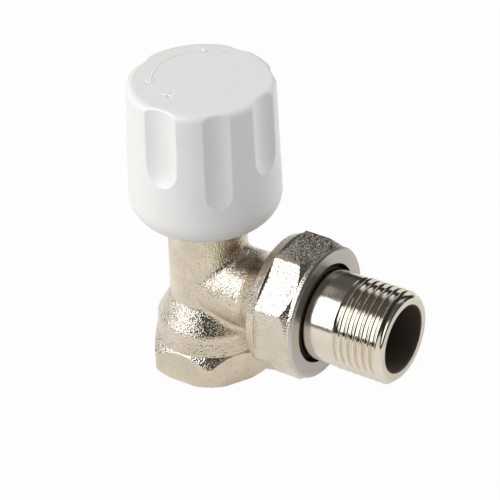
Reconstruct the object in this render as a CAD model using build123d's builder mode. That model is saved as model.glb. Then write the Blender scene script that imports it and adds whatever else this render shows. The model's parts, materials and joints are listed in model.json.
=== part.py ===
from build123d import *
from math import atan2, cos, pi, radians, sin
import os

# Angle radiator valve, half-inch, in millimetres. The stem axis is Z, the outlet axis runs along X,
# and the origin is the centre of the inlet's bottom face. The valve is modelled closed.

os.makedirs("parts", exist_ok=True)

# Pipe threads stand as plain cylinders: the inlet and the outlet at their major diameter,
# the union at the core diameter of its thread, which is one pipe size larger.
pipe_major_radius = 20.955 / 2
union_core_step = 1.581
thread_clearance = 0.05
running_clearance = 0.05

# Inlet base of the body
inlet_depth = 11.0
base_wall = 2.07
base_corner_round = 2.5
base_hex_height = 5.0
base_cone_height = 2.7
foot_spread = 0.4
foot_chamfer = 1.2

# Column of the body, from the turned band up to the neck
band_wall = 1.47
band_taper = 0.4
band_height = 3.3
bell_shoulder_height = 1.7
bell_round = 2.0
bell_height = 5.6
neck_radius = 8.9
neck_foot_round = 1.5
neck_wall = 1.35
neck_above_outlet = 15.8
neck_thread_length = 8.0

# Outlet boss of the body
boss_bore_radius = 6.6
boss_wall = 2.2
boss_length = 13.6
boss_crotch_round = 2.0
flare_length = 4.6
flare_round = 4.6
union_thread_length = 8.6
union_thread_chamfer = 0.9
socket_radius = 10.0
socket_depth = 5.8

# Water way inside the body
port_radius = 4.6
port_length = 3.5
seat_lip = 1.1
seat_width = 0.9
outlet_above_seat = 7.7
chamber_step = 0.65

# Bonnet, screwed into the neck
gasket_thickness = 0.8
gasket_width = 1.1
bonnet_wall = 2.45
bonnet_across_flats = 17.0
bonnet_hex_height = 4.4
bonnet_hex_chamfer = 0.7
bonnet_barrel_radius = 6.4
bonnet_barrel_length = 11.4
obturator_bore_length = 14.6
gland_wall = 1.5
gland_pocket_depth = 3.2

# Spindle
spindle_radius = 3.5
collar_clearance = 0.25
collar_thickness = 1.2
thrust_washer_thickness = 0.8
drive_across_flats = 5.0
drive_length = 16.5
ring_groove_depth = 0.8
ring_groove_width = 1.4
ring_groove_pitch = 3.0
ring_groove_start = 1.0
spline_teeth = 18
spline_depth = 0.4
spline_length = 8.2
spindle_tip_chamfer = 0.2

# Gland and circlip at the top of the bonnet
packing_thickness = 1.5
gland_across_flats = 11.0
gland_hex_height = 2.2
gland_hex_chamfer = 0.4
circlip_thickness = 0.75
circlip_groove_depth = 0.6
circlip_width = 1.7
circlip_gap = 60.0
circlip_float = 0.15

# Obturator with its soft seat
obturator_lift = 4.375
lift_end_gap = 0.8
obturator_thread_length = 8.8
stalk_recess = 0.7
drive_overlap = 5.2
holder_overlap = 0.5
holder_thickness = 3.0
holder_rim = 0.35
holder_recess = 1.3
seat_washer_thickness = 2.4
retainer_radius = 3.6
retainer_thickness = 0.6
screw_radius = 1.45
screw_head_radius = 2.7
screw_head_height = 1.5
screw_length = 6.3
screw_slot_width = 0.7
screw_slot_depth = 0.8

# Handwheel, a closed fluted cap on a splined hub
knob_gap = 0.9
knob_height = 33.75
knob_belly_radius = 16.95
knob_draft = 0.7
knob_skirt_round = 6.0
knob_rim_round = 1.8
knob_wall = 2.9
knob_ceiling = 2.2
knob_lip_round = 0.6
knob_cavity_round = 1.5
knob_ceiling_round = 0.8
knob_opening_clearance = 0.89
parting_groove = 0.12
wide_flute_angles = (-90, 0, 90, 180)
wide_flute_radius = 9.9
wide_flute_depth = 1.3
wide_flute_length = 18.5
slim_flute_angles = (-45, 45)
slim_flute_radius = 8.6
slim_flute_depth = 0.8
slim_flute_length = 23.0
flute_edge_round = 0.6
hub_wall = 2.05
hub_gap = 0.6
hub_slot_width = 1.2
hub_slot_height = 6.0
hub_rib_thickness = 1.2
hub_rib_count = 4
clip_height = 1.2
clip_width = 0.9
clip_groove_depth = 0.5
clip_above_hub_end = 1.2
clip_gap = 40.0

# Tailpiece
tail_length = 21.9
tail_wall = 2.67
tail_tube_relief = 0.18
tail_thread_length = 12.0
tail_end_chamfer = 1.15
tail_mouth_chamfer = 0.3
flange_clearance = 0.2
flange_thickness = 1.6
tail_neck_round = 0.6
tail_key_across_flats = 13.0
spigot_clearance = 0.1
spigot_end_gap = 0.6
spigot_chamfer = 0.6
spigot_groove_start = 1.7
spigot_groove_width = 1.7
spigot_groove_depth = 1.15

# Union nut, drawn up with its corners at a chosen angle from level
nut_wall = 2.89
nut_corner_angle = 20.5
nut_back_gap = 0.96
nut_lip_thickness = 2.34
nut_collar_length = 2.44
nut_collar_spread = 0.87
nut_collar_taper = 1.02
nut_front_turning = 2.84
nut_band_length = 1.44
nut_face_chamfer = 0.35
nut_face_step = 0.55
nut_hole_clearance = 0.69
nut_hole_chamfer = 0.25
nut_mouth_chamfer = 0.8
nut_relief_depth = 0.5


def outlet_station(x):
    """Sketch plane across the outlet axis, x millimetres from the stem axis."""
    return Plane(origin=(x, 0, outlet_height), x_dir=(0, 1, 0), z_dir=(1, 0, 0))


def save(builder, name):
    """Label a finished piece and write its STEP file."""
    builder.part.label = name
    export_step(builder.part, f"parts/{name}.step")


# Heights on the stem axis
base_cone_end = base_hex_height + base_cone_height
band_top = base_cone_end + band_height
bell_shoulder = band_top + bell_shoulder_height
bell_foot = bell_shoulder + bell_height
seat_height = inlet_depth + port_length
outlet_height = seat_height + outlet_above_seat
neck_top = outlet_height + neck_above_outlet
neck_thread_foot = neck_top - neck_thread_length
gasket_top = neck_top + gasket_thickness
bonnet_foot = neck_thread_foot + thread_clearance
bonnet_hex_top = gasket_top + bonnet_hex_height
bonnet_top = bonnet_hex_top + bonnet_barrel_length
thrust_shoulder = bonnet_foot + obturator_bore_length
collar_top = thrust_shoulder - thrust_washer_thickness
collar_bottom = collar_top - collar_thickness
gland_floor = bonnet_top - gland_pocket_depth
gland_top = bonnet_top + gland_hex_height
circlip_bottom = gland_top + circlip_float
circlip_top = circlip_bottom + circlip_thickness
hub_bottom = circlip_top + hub_gap
obturator_top = collar_bottom - lift_end_gap - obturator_lift
drive_bottom = collar_bottom - drive_length
socket_floor = drive_bottom - drive_overlap
knob_bottom = neck_top + knob_gap
knob_belly_height = knob_bottom + knob_skirt_round
knob_top = knob_bottom + knob_height
knob_ceiling_height = knob_top - knob_ceiling
screw_head_top = seat_height - retainer_thickness
screw_top = screw_head_top + screw_length

# Stations on the outlet axis
union_shoulder = boss_length + flare_length
union_face = union_shoulder + union_thread_length
socket_start = union_face - socket_depth
flange_front = union_face + flange_thickness
tail_end = flange_front + tail_length
nut_back = union_shoulder + nut_back_gap
nut_collar_end = nut_back + nut_collar_length
nut_front = flange_front + nut_lip_thickness
nut_corner_end = nut_front - nut_front_turning
nut_cone_end = nut_front - nut_band_length

# Radii that follow from the bores and the walls round them
inlet_radius = pipe_major_radius + thread_clearance
base_across_flats = 2 * (inlet_radius + base_wall)
base_corner_radius = base_across_flats / 2 / cos(pi / 6)
foot_radius = base_across_flats / 2 + foot_spread
band_top_radius = inlet_radius + band_wall
band_bottom_radius = band_top_radius + band_taper
boss_radius = boss_bore_radius + boss_wall
union_core_radius = pipe_major_radius + union_core_step
neck_thread_radius = neck_radius - neck_wall
chamber_radius = neck_thread_radius - chamber_step
bonnet_thread_radius = neck_thread_radius - thread_clearance
bonnet_corner_radius = bonnet_across_flats / 2 / cos(pi / 6)
obturator_bore_radius = bonnet_thread_radius - bonnet_wall
obturator_thread_radius = obturator_bore_radius - thread_clearance
obturator_stalk_radius = obturator_thread_radius - stalk_recess
holder_radius = port_radius + seat_width + holder_overlap
screw_hole_radius = screw_radius + thread_clearance
collar_radius = obturator_bore_radius - collar_clearance
shaft_bore_radius = spindle_radius + running_clearance
gland_pocket_radius = bonnet_barrel_radius - gland_wall
gland_corner_radius = gland_across_flats / 2 / cos(pi / 6)
circlip_groove_radius = spindle_radius - circlip_groove_depth
knob_top_radius = knob_belly_radius - knob_draft
knob_opening_radius = bonnet_corner_radius + knob_opening_clearance
hub_radius = shaft_bore_radius + hub_wall
clip_groove_radius = hub_radius - clip_groove_depth
nut_bore_radius = union_core_radius + thread_clearance
nut_flat_radius = nut_bore_radius + nut_wall
nut_corner_radius = nut_flat_radius / cos(pi / 8)
nut_hole_radius = pipe_major_radius + nut_hole_clearance
tail_tube_radius = pipe_major_radius - tail_tube_relief
tail_bore_radius = tail_tube_radius - tail_wall
tail_flange_radius = nut_bore_radius - flange_clearance
spigot_radius = socket_radius - spigot_clearance

# Section plane through the outlet axis: its x runs along the outlet, its y is the radius
outlet_section = Plane(origin=(0, 0, outlet_height), x_dir=(1, 0, 0), z_dir=(0, -1, 0))
outlet_axis = Axis((0, 0, outlet_height), (1, 0, 0))


# Body: hexagonal inlet base, bell-shaped column, neck and outlet boss in one forging
with BuildPart() as valve_body:
    with BuildSketch(Plane.XY):
        RegularPolygon(base_across_flats / 2, 6, major_radius=False)
    extrude(amount=base_cone_end)
    fillet(valve_body.edges().filter_by(Axis.Z), base_corner_round)
    # the corners are turned to a small foot below and a long cone above
    with BuildSketch(Plane.XZ):
        with BuildLine():
            Polyline(
                (0, 0),
                (foot_radius, 0),
                (base_corner_radius, foot_chamfer),
                (base_corner_radius, base_hex_height),
                (band_bottom_radius, base_cone_end),
                (0, base_cone_end),
                close=True,
            )
        make_face()
    revolve(axis=Axis.Z, mode=Mode.INTERSECT)
    # turned band, bell and neck
    with BuildSketch(Plane.XZ):
        with BuildLine():
            FilletPolyline(
                (0, foot_chamfer),
                (band_bottom_radius, foot_chamfer),
                (band_bottom_radius, base_cone_end),
                (band_top_radius, band_top),
                (band_top_radius, bell_shoulder),
                (neck_radius, bell_foot),
                (neck_radius, neck_top),
                (0, neck_top),
                radius=[0, 0, 0, 0, bell_round, neck_foot_round, 0, 0],
                close=True,
            )
        make_face()
    revolve(axis=Axis.Z)
    # outlet boss, flared into the union thread
    with BuildSketch(outlet_section):
        with BuildLine():
            FilletPolyline(
                (0, 0),
                (0, boss_radius),
                (boss_length, boss_radius),
                (union_shoulder, union_core_radius),
                (union_face - union_thread_chamfer, union_core_radius),
                (union_face, union_core_radius - union_thread_chamfer),
                (union_face, 0),
                radius=[0, 0, flare_round, 0, 0, 0, 0],
                close=True,
            )
        make_face()
    revolve(axis=outlet_axis)
    crotch = valve_body.edges().filter_by(GeomType.BSPLINE)
    fillet(crotch.filter_by_position(Axis.Z, band_top, neck_top), boss_crotch_round)
    # inlet thread, port, seat lip, chamber and the bonnet's thread
    with BuildSketch(Plane.XZ):
        with BuildLine():
            Polyline(
                (0, 0),
                (inlet_radius, 0),
                (inlet_radius, inlet_depth),
                (port_radius, inlet_depth),
                (port_radius, seat_height),
                (port_radius + seat_width, seat_height),
                (port_radius + seat_width, seat_height - seat_lip),
                (chamber_radius, seat_height - seat_lip),
                (chamber_radius, neck_thread_foot),
                (neck_thread_radius, neck_thread_foot),
                (neck_thread_radius, neck_top),
                (0, neck_top),
                close=True,
            )
        make_face()
    revolve(axis=Axis.Z, mode=Mode.SUBTRACT)
    # outlet bore and the socket for the tailpiece
    with BuildSketch(outlet_section):
        with BuildLine():
            Polyline(
                (0, 0),
                (0, boss_bore_radius),
                (socket_start, boss_bore_radius),
                (socket_start, socket_radius),
                (union_face, socket_radius),
                (union_face, 0),
                close=True,
            )
        make_face()
    revolve(axis=outlet_axis, mode=Mode.SUBTRACT)
save(valve_body, "valve_body")


# Flat gasket between the neck and the bonnet
with BuildPart() as bonnet_gasket:
    with BuildSketch(Plane.XY.offset(neck_top)):
        Circle(neck_thread_radius + gasket_width)
        Circle(neck_thread_radius, mode=Mode.SUBTRACT)
    extrude(amount=gasket_thickness)
save(bonnet_gasket, "bonnet_gasket")


# Bonnet: threaded foot, hexagon and barrel, bored for the obturator, the spindle and the gland
with BuildPart() as bonnet:
    with BuildSketch(Plane.XY.offset(gasket_top)):
        RegularPolygon(bonnet_across_flats / 2, 6, major_radius=False)
    extrude(amount=bonnet_hex_height)
    with BuildSketch(Plane.XZ):
        with BuildLine():
            Polyline(
                (0, gasket_top),
                (bonnet_corner_radius, gasket_top),
                (bonnet_corner_radius, bonnet_hex_top - bonnet_hex_chamfer),
                (bonnet_across_flats / 2, bonnet_hex_top),
                (0, bonnet_hex_top),
                close=True,
            )
        make_face()
    revolve(axis=Axis.Z, mode=Mode.INTERSECT)
    with BuildSketch(Plane.XZ):
        with BuildLine():
            Polyline(
                (0, bonnet_foot),
                (bonnet_thread_radius, bonnet_foot),
                (bonnet_thread_radius, bonnet_hex_top - bonnet_hex_chamfer),
                (bonnet_barrel_radius, bonnet_hex_top - bonnet_hex_chamfer),
                (bonnet_barrel_radius, bonnet_top),
                (0, bonnet_top),
                close=True,
            )
        make_face()
    revolve(axis=Axis.Z)
    with BuildSketch(Plane.XZ):
        with BuildLine():
            Polyline(
                (0, bonnet_foot),
                (obturator_bore_radius, bonnet_foot),
                (obturator_bore_radius, thrust_shoulder),
                (shaft_bore_radius, thrust_shoulder),
                (shaft_bore_radius, gland_floor),
                (gland_pocket_radius, gland_floor),
                (gland_pocket_radius, bonnet_top),
                (0, bonnet_top),
                close=True,
            )
        make_face()
    revolve(axis=Axis.Z, mode=Mode.SUBTRACT)
save(bonnet, "bonnet")


# Packing ring under the gland nut
with BuildPart() as gland_packing:
    with BuildSketch(Plane.XY.offset(gland_floor)):
        Circle(gland_pocket_radius - running_clearance)
        Circle(shaft_bore_radius, mode=Mode.SUBTRACT)
    extrude(amount=packing_thickness)
save(gland_packing, "gland_packing")


# Gland nut, screwed into the top of the bonnet
with BuildPart() as gland_nut:
    with BuildSketch(Plane.XY.offset(bonnet_top)):
        RegularPolygon(gland_across_flats / 2, 6, major_radius=False)
    extrude(amount=gland_hex_height)
    with BuildSketch(Plane.XZ):
        with BuildLine():
            Polyline(
                (0, bonnet_top),
                (gland_corner_radius, bonnet_top),
                (gland_corner_radius, gland_top - gland_hex_chamfer),
                (gland_across_flats / 2, gland_top),
                (0, gland_top),
                close=True,
            )
        make_face()
    revolve(axis=Axis.Z, mode=Mode.INTERSECT)
    with BuildSketch(Plane.XY.offset(gland_floor + packing_thickness)):
        Circle(gland_pocket_radius - thread_clearance)
    extrude(until=Until.NEXT)
    with BuildSketch(Plane.XY.offset(gland_floor)):
        Circle(shaft_bore_radius)
    extrude(amount=gland_top - gland_floor, mode=Mode.SUBTRACT)
save(gland_nut, "gland_nut")


def spline_outline(tip_radius, depth):
    """Closed outline of the splined spindle end, with round-topped teeth."""
    tooth_step = 2 * pi / spline_teeth
    points = []
    for tooth in range(spline_teeth):
        for share, radius in ((-0.3, -depth), (-0.15, 0), (0.15, 0), (0.3, -depth)):
            angle = (tooth + share) * tooth_step
            points.append(((tip_radius + radius) * cos(angle), (tip_radius + radius) * sin(angle)))
    return points


# Spindle: hexagonal drive, thrust collar, sealed shaft and splined end, turned from one bar
with BuildPart() as spindle:
    with BuildSketch(Plane.XY.offset(drive_bottom)):
        RegularPolygon(drive_across_flats / 2, 6, major_radius=False)
    extrude(amount=drive_length)
    with BuildSketch(Plane.XY.offset(collar_bottom)):
        Circle(collar_radius)
    extrude(amount=collar_thickness)
    with BuildSketch(Plane.XY.offset(collar_top)):
        Circle(spindle_radius)
    extrude(amount=hub_bottom - collar_top)
    with BuildSketch(Plane.XY.offset(hub_bottom)):
        with BuildLine():
            Polyline(*spline_outline(spindle_radius, spline_depth), close=True)
        make_face()
    extrude(amount=spline_length)
    chamfer(spindle.faces().sort_by(Axis.Z)[-1].edges(), spindle_tip_chamfer)
    # grooves for the two sealing rings and the circlip
    groove_heights = [thrust_shoulder + ring_groove_start + step * ring_groove_pitch for step in range(2)]
    for groove_height in groove_heights:
        with BuildSketch(Plane.XY.offset(groove_height)):
            Circle(spindle_radius)
            Circle(spindle_radius - ring_groove_depth, mode=Mode.SUBTRACT)
        extrude(amount=ring_groove_width, mode=Mode.SUBTRACT)
    with BuildSketch(Plane.XY.offset(circlip_bottom)):
        Circle(spindle_radius)
        Circle(circlip_groove_radius, mode=Mode.SUBTRACT)
    extrude(amount=circlip_thickness, mode=Mode.SUBTRACT)
save(spindle, "spindle")


# Sealing rings in the spindle's grooves
ring_section = ring_groove_depth / 2
for ring_name, groove_height in zip(("lower_spindle_ring", "upper_spindle_ring"), groove_heights):
    with BuildPart() as spindle_ring:
        with BuildSketch(Plane.XZ):
            with Locations((spindle_radius - ring_section, groove_height + ring_groove_width / 2)):
                SlotOverall(ring_groove_width, 2 * ring_section, rotation=90)
        revolve(axis=Axis.Z)
    save(spindle_ring, ring_name)


# Thrust washer between the spindle's collar and the bonnet's shoulder
with BuildPart() as thrust_washer:
    with BuildSketch(Plane.XY.offset(collar_top)):
        Circle(collar_radius)
        Circle(shaft_bore_radius, mode=Mode.SUBTRACT)
    extrude(amount=thrust_washer_thickness)
save(thrust_washer, "thrust_washer")


# Open circlip in the spindle's upper groove
with BuildPart() as spindle_circlip:
    with BuildSketch(Plane.XY.offset(circlip_bottom)):
        Circle(circlip_groove_radius + circlip_width)
        Circle(circlip_groove_radius, mode=Mode.SUBTRACT)
        with BuildLine():
            mouth = 2 * (circlip_groove_radius + circlip_width)
            half_gap = radians(circlip_gap / 2)
            Polyline(
                (0, 0),
                (mouth * cos(half_gap), -mouth * sin(half_gap)),
                (mouth * cos(half_gap), mouth * sin(half_gap)),
                close=True,
            )
        make_face(mode=Mode.SUBTRACT)
    extrude(amount=circlip_thickness)
save(spindle_circlip, "spindle_circlip")


# Obturator: threaded head with a hexagonal socket, stalk and cup for the soft seat
with BuildPart() as obturator:
    cup_floor = seat_height + seat_washer_thickness
    cup_rim = cup_floor - holder_recess
    cup_top = cup_rim + holder_thickness
    head_bottom = obturator_top - obturator_thread_length
    with BuildSketch(Plane.XZ):
        with BuildLine():
            Polyline(
                (0, cup_floor),
                (holder_radius - holder_rim, cup_floor),
                (holder_radius - holder_rim, cup_rim),
                (holder_radius, cup_rim),
                (holder_radius, cup_top),
                (obturator_stalk_radius, cup_top),
                (obturator_stalk_radius, head_bottom),
                (obturator_thread_radius, head_bottom),
                (obturator_thread_radius, obturator_top),
                (0, obturator_top),
                close=True,
            )
        make_face()
    revolve(axis=Axis.Z)
    with BuildSketch(Plane.XY.offset(socket_floor)):
        RegularPolygon(drive_across_flats / 2 + running_clearance, 6, major_radius=False)
    extrude(amount=obturator_top - socket_floor, mode=Mode.SUBTRACT)
    with BuildSketch(Plane.XY.offset(cup_floor)):
        Circle(screw_hole_radius)
    extrude(amount=screw_top - cup_floor, mode=Mode.SUBTRACT)
save(obturator, "obturator")


# Soft seat washer in the obturator's cup
with BuildPart() as seat_washer:
    with BuildSketch(Plane.XY.offset(seat_height)):
        Circle(holder_radius - holder_rim - running_clearance)
        Circle(screw_hole_radius, mode=Mode.SUBTRACT)
    extrude(amount=seat_washer_thickness)
save(seat_washer, "seat_washer")


# Metal washer that holds the soft seat
with BuildPart() as seat_retainer:
    with BuildSketch(Plane.XY.offset(seat_height - retainer_thickness)):
        Circle(retainer_radius)
        Circle(screw_hole_radius, mode=Mode.SUBTRACT)
    extrude(amount=retainer_thickness)
save(seat_retainer, "seat_retainer")


# Slotted screw that clamps the seat from below
with BuildPart() as seat_screw:
    with BuildSketch(Plane.XY.offset(screw_head_top)):
        Circle(screw_radius)
    extrude(amount=screw_length)
    with BuildSketch(Plane.XY.offset(screw_head_top - screw_head_height)):
        Circle(screw_head_radius)
    extrude(amount=screw_head_height)
    with BuildSketch(Plane.XY.offset(screw_head_top - screw_head_height)):
        Rectangle(3 * screw_head_radius, screw_slot_width)
    extrude(amount=screw_slot_depth, mode=Mode.SUBTRACT)
save(seat_screw, "seat_screw")


# Handwheel: the wall leans in towards the top, and the flutes lean with it
lean = atan2(knob_draft, knob_top - knob_belly_height)


def knob_radius(height):
    """Outer radius of the handwheel's wall at a height."""
    share = (height - knob_belly_height) / (knob_top - knob_belly_height)
    return knob_belly_radius - knob_draft * share


def flute_cutter(radius, depth, flute_length):
    """Round-ended rod that cuts one flute on the +X side, parallel to the leaning wall."""
    end_drop = (radius**2 - (radius - depth) ** 2) ** 0.5
    centre_height = knob_top - flute_length + end_drop
    centre = (knob_radius(centre_height) - depth + radius, 0, centre_height)
    length = flute_length + radius
    section = Plane(origin=centre, x_dir=(cos(lean), 0, sin(lean)), z_dir=(0, -1, 0))
    with BuildPart() as cutter:
        with BuildSketch(section):
            with BuildLine():
                CenterArc((0, 0), radius, -90, 90)
                Polyline((radius, 0), (radius, length), (0, length), (0, -radius))
            make_face()
        revolve(axis=Axis(centre, (-sin(lean), 0, cos(lean))))
    return cutter.part


wide_cutter = flute_cutter(wide_flute_radius, wide_flute_depth, wide_flute_length)
slim_cutter = flute_cutter(slim_flute_radius, slim_flute_depth, slim_flute_length)

# the outer profile is drawn through the middle of the wide land between two flutes
land_angle = (wide_flute_angles[-1] + wide_flute_angles[-2]) / 2

with BuildPart() as handwheel:
    with BuildSketch(Plane.XZ.rotated((0, 0, land_angle))):
        with BuildLine():
            FilletPolyline(
                (knob_belly_radius - knob_skirt_round, knob_bottom),
                (0, knob_bottom),
                (0, knob_top),
                (knob_top_radius, knob_top),
                (knob_belly_radius, knob_belly_height),
                radius=[0, 0, knob_rim_round],
            )
            RadiusArc(
                (knob_belly_radius, knob_belly_height),
                (knob_belly_radius - knob_skirt_round, knob_bottom),
                knob_skirt_round,
            )
        make_face()
    revolve(axis=Axis.Z)
    for angle in wide_flute_angles:
        add(wide_cutter, rotation=(0, 0, angle), mode=Mode.SUBTRACT)
    for angle in slim_flute_angles:
        add(slim_cutter, rotation=(0, 0, angle), mode=Mode.SUBTRACT)
    flute_edges = [edge for edge in handwheel.edges() if edge.geom_type == GeomType.BSPLINE]
    fillet(flute_edges, flute_edge_round)
    # cavity under the closed top
    with BuildSketch(Plane.XZ):
        with BuildLine():
            FilletPolyline(
                (0, knob_bottom),
                (knob_opening_radius, knob_bottom),
                (knob_opening_radius, knob_bottom + knob_wall),
                (knob_belly_radius - knob_wall, knob_belly_height),
                (knob_top_radius - knob_wall, knob_ceiling_height),
                (0, knob_ceiling_height),
                radius=[0, 0, knob_lip_round, knob_cavity_round, knob_ceiling_round, 0],
                close=True,
            )
        make_face()
    revolve(axis=Axis.Z, mode=Mode.SUBTRACT)
    # fine groove where the two mould halves part
    with BuildSketch(Plane.XZ):
        with BuildLine():
            groove_radius = knob_radius(knob_belly_height + 2 * parting_groove)
            Polyline(
                (groove_radius - parting_groove, knob_belly_height + parting_groove),
                (groove_radius + parting_groove, knob_belly_height),
                (groove_radius + parting_groove, knob_belly_height + 2 * parting_groove),
                close=True,
            )
        make_face()
    revolve(axis=Axis.Z, mode=Mode.SUBTRACT)
    # hub on ribs, split at its end so that it grips the spindle
    with BuildSketch(Plane.XY.offset(hub_bottom)):
        Circle(hub_radius)
    extrude(amount=knob_ceiling_height - hub_bottom)
    rib_foot = hub_bottom + hub_slot_height
    with BuildSketch(Plane.XY.offset(rib_foot)):
        with PolarLocations(0, hub_rib_count, start_angle=180 / hub_rib_count):
            Rectangle(knob_top_radius - knob_wall / 2, hub_rib_thickness, align=(Align.MIN, Align.CENTER))
    extrude(amount=knob_ceiling_height - rib_foot)
    with BuildSketch(Plane.XY.offset(hub_bottom)):
        with BuildLine():
            Polyline(*spline_outline(shaft_bore_radius, spline_depth), close=True)
        make_face()
    extrude(amount=spline_length + hub_gap, mode=Mode.SUBTRACT)
    with BuildSketch(Plane.XY.offset(hub_bottom)):
        with PolarLocations(0, 2, angular_range=180):
            Rectangle(2 * hub_radius + hub_slot_width, hub_slot_width)
    extrude(amount=hub_slot_height, mode=Mode.SUBTRACT)
    clip_bottom = hub_bottom + clip_above_hub_end
    with BuildSketch(Plane.XY.offset(clip_bottom)):
        Circle(hub_radius)
        Circle(clip_groove_radius, mode=Mode.SUBTRACT)
    extrude(amount=clip_height, mode=Mode.SUBTRACT)
save(handwheel, "handwheel")


# Spring clip in the groove round the split hub
with BuildPart() as hub_clip:
    with BuildSketch(Plane.XY.offset(clip_bottom)):
        Circle(clip_groove_radius + clip_width)
        Circle(clip_groove_radius, mode=Mode.SUBTRACT)
        with BuildLine():
            mouth = 2 * (clip_groove_radius + clip_width)
            half_gap = radians(clip_gap / 2)
            Polyline(
                (0, 0),
                (mouth * cos(half_gap), -mouth * sin(half_gap)),
                (mouth * cos(half_gap), mouth * sin(half_gap)),
                close=True,
            )
        make_face(mode=Mode.SUBTRACT)
    extrude(amount=clip_height)
save(hub_clip, "hub_clip")


# Tailpiece: grooved spigot, clamped flange, tube and outlet thread
with BuildPart() as tailpiece:
    spigot_start = socket_start + spigot_end_gap
    groove_start = spigot_start + spigot_groove_start
    groove_end = groove_start + spigot_groove_width
    outlet_thread_start = tail_end - tail_thread_length
    with BuildSketch(outlet_section):
        with BuildLine():
            FilletPolyline(
                (spigot_start, 0),
                (spigot_start, spigot_radius - spigot_chamfer),
                (spigot_start + spigot_chamfer, spigot_radius),
                (groove_start, spigot_radius),
                (groove_start, spigot_radius - spigot_groove_depth),
                (groove_end, spigot_radius - spigot_groove_depth),
                (groove_end, spigot_radius),
                (union_face, spigot_radius),
                (union_face, tail_flange_radius),
                (flange_front, tail_flange_radius),
                (flange_front, tail_tube_radius),
                (outlet_thread_start, tail_tube_radius),
                (outlet_thread_start, pipe_major_radius),
                (tail_end - tail_end_chamfer, pipe_major_radius),
                (tail_end, pipe_major_radius - tail_end_chamfer),
                (tail_end, 0),
                radius=[0] * 10 + [tail_neck_round] + [0] * 5,
                close=True,
            )
        make_face()
    revolve(axis=outlet_axis)
    with BuildSketch(outlet_station(flange_front)):
        Circle(tail_bore_radius)
    extrude(amount=tail_end - flange_front, mode=Mode.SUBTRACT)
    # hexagonal keyway for screwing the tailpiece into the radiator
    with BuildSketch(outlet_station(spigot_start)):
        RegularPolygon(tail_key_across_flats / 2, 6, major_radius=False)
    extrude(amount=flange_front - spigot_start, mode=Mode.SUBTRACT)
    mouth_edge = tailpiece.edges().filter_by(GeomType.CIRCLE).group_by(Axis.X)[-1].sort_by(SortBy.RADIUS)[0]
    chamfer(mouth_edge, tail_mouth_chamfer)
save(tailpiece, "tailpiece")


# Sealing ring in the spigot's groove
with BuildPart() as tail_ring:
    with BuildSketch(outlet_section):
        with Locations((groove_start + spigot_groove_width / 2, spigot_radius - spigot_groove_depth / 2)):
            SlotOverall(spigot_groove_width, spigot_groove_depth)
    revolve(axis=outlet_axis)
save(tail_ring, "tail_ring")


# Union nut: octagon between a turned collar and a turned front
with BuildPart() as union_nut:
    with BuildSketch(outlet_station(nut_collar_end)):
        RegularPolygon(nut_flat_radius, 8, major_radius=False, rotation=nut_corner_angle)
    extrude(amount=nut_front - nut_collar_end)
    with BuildSketch(outlet_section):
        with BuildLine():
            Polyline(
                (nut_collar_end, 0),
                (nut_collar_end, nut_corner_radius),
                (nut_corner_end, nut_corner_radius),
                (nut_cone_end, nut_flat_radius),
                (nut_front - nut_face_chamfer, nut_flat_radius),
                (nut_front, nut_flat_radius - nut_face_step),
                (nut_front, 0),
                close=True,
            )
        make_face()
    revolve(axis=outlet_axis, mode=Mode.INTERSECT)
    with BuildSketch(outlet_section):
        with BuildLine():
            Polyline(
                (nut_back, 0),
                (nut_back, nut_flat_radius + nut_collar_spread - nut_collar_taper),
                (nut_collar_end, nut_flat_radius + nut_collar_spread),
                (nut_collar_end, 0),
                close=True,
            )
        make_face()
    revolve(axis=outlet_axis)
    # threaded bore, relief, and the lip that draws the tailpiece's flange
    with BuildSketch(outlet_section):
        with BuildLine():
            Polyline(
                (nut_back, 0),
                (nut_back, nut_bore_radius + nut_mouth_chamfer),
                (nut_back + nut_mouth_chamfer, nut_bore_radius),
                (union_face, nut_bore_radius),
                (union_face, nut_bore_radius + nut_relief_depth),
                (flange_front, nut_bore_radius + nut_relief_depth),
                (flange_front, nut_hole_radius),
                (nut_front - nut_hole_chamfer, nut_hole_radius),
                (nut_front, nut_hole_radius + nut_hole_chamfer),
                (nut_front, 0),
                close=True,
            )
        make_face()
    revolve(axis=outlet_axis, mode=Mode.SUBTRACT)
save(union_nut, "union_nut")
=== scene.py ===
import bmesh
import bpy
import json
from math import cos, pi, radians, sin
from mathutils import Matrix, Vector


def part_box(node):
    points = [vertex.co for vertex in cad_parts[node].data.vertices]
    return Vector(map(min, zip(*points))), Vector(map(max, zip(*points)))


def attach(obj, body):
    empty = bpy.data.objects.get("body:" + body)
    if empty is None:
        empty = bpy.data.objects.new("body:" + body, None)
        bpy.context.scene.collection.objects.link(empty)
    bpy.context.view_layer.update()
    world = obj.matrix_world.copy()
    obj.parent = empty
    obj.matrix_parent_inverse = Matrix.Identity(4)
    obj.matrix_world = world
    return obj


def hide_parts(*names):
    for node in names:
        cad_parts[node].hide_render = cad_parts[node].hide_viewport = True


# Angle radiator valve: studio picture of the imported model, in metres, +Z up the stem.

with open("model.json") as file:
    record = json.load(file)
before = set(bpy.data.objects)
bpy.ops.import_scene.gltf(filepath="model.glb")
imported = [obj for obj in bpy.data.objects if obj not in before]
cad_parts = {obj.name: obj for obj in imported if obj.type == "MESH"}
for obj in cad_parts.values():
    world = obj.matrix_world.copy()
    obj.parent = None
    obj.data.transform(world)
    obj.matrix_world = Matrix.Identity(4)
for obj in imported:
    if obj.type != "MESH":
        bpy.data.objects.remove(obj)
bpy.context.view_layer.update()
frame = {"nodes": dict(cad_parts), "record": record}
nodes = frame["nodes"]
mm = 0.001
print("frame loaded:", len(nodes), "nodes")


# helpers for node trees, used by the shapes and by the materials

def addNode(tree, kind, inputs=None, **settings):
    node = tree.nodes.new(kind)
    for name, value in settings.items():
        setattr(node, name, value)
    for key, value in (inputs or {}).items():
        if isinstance(value, bpy.types.NodeSocket):
            tree.links.new(value, node.inputs[key])
        else:
            node.inputs[key].default_value = value
    return node


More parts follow.
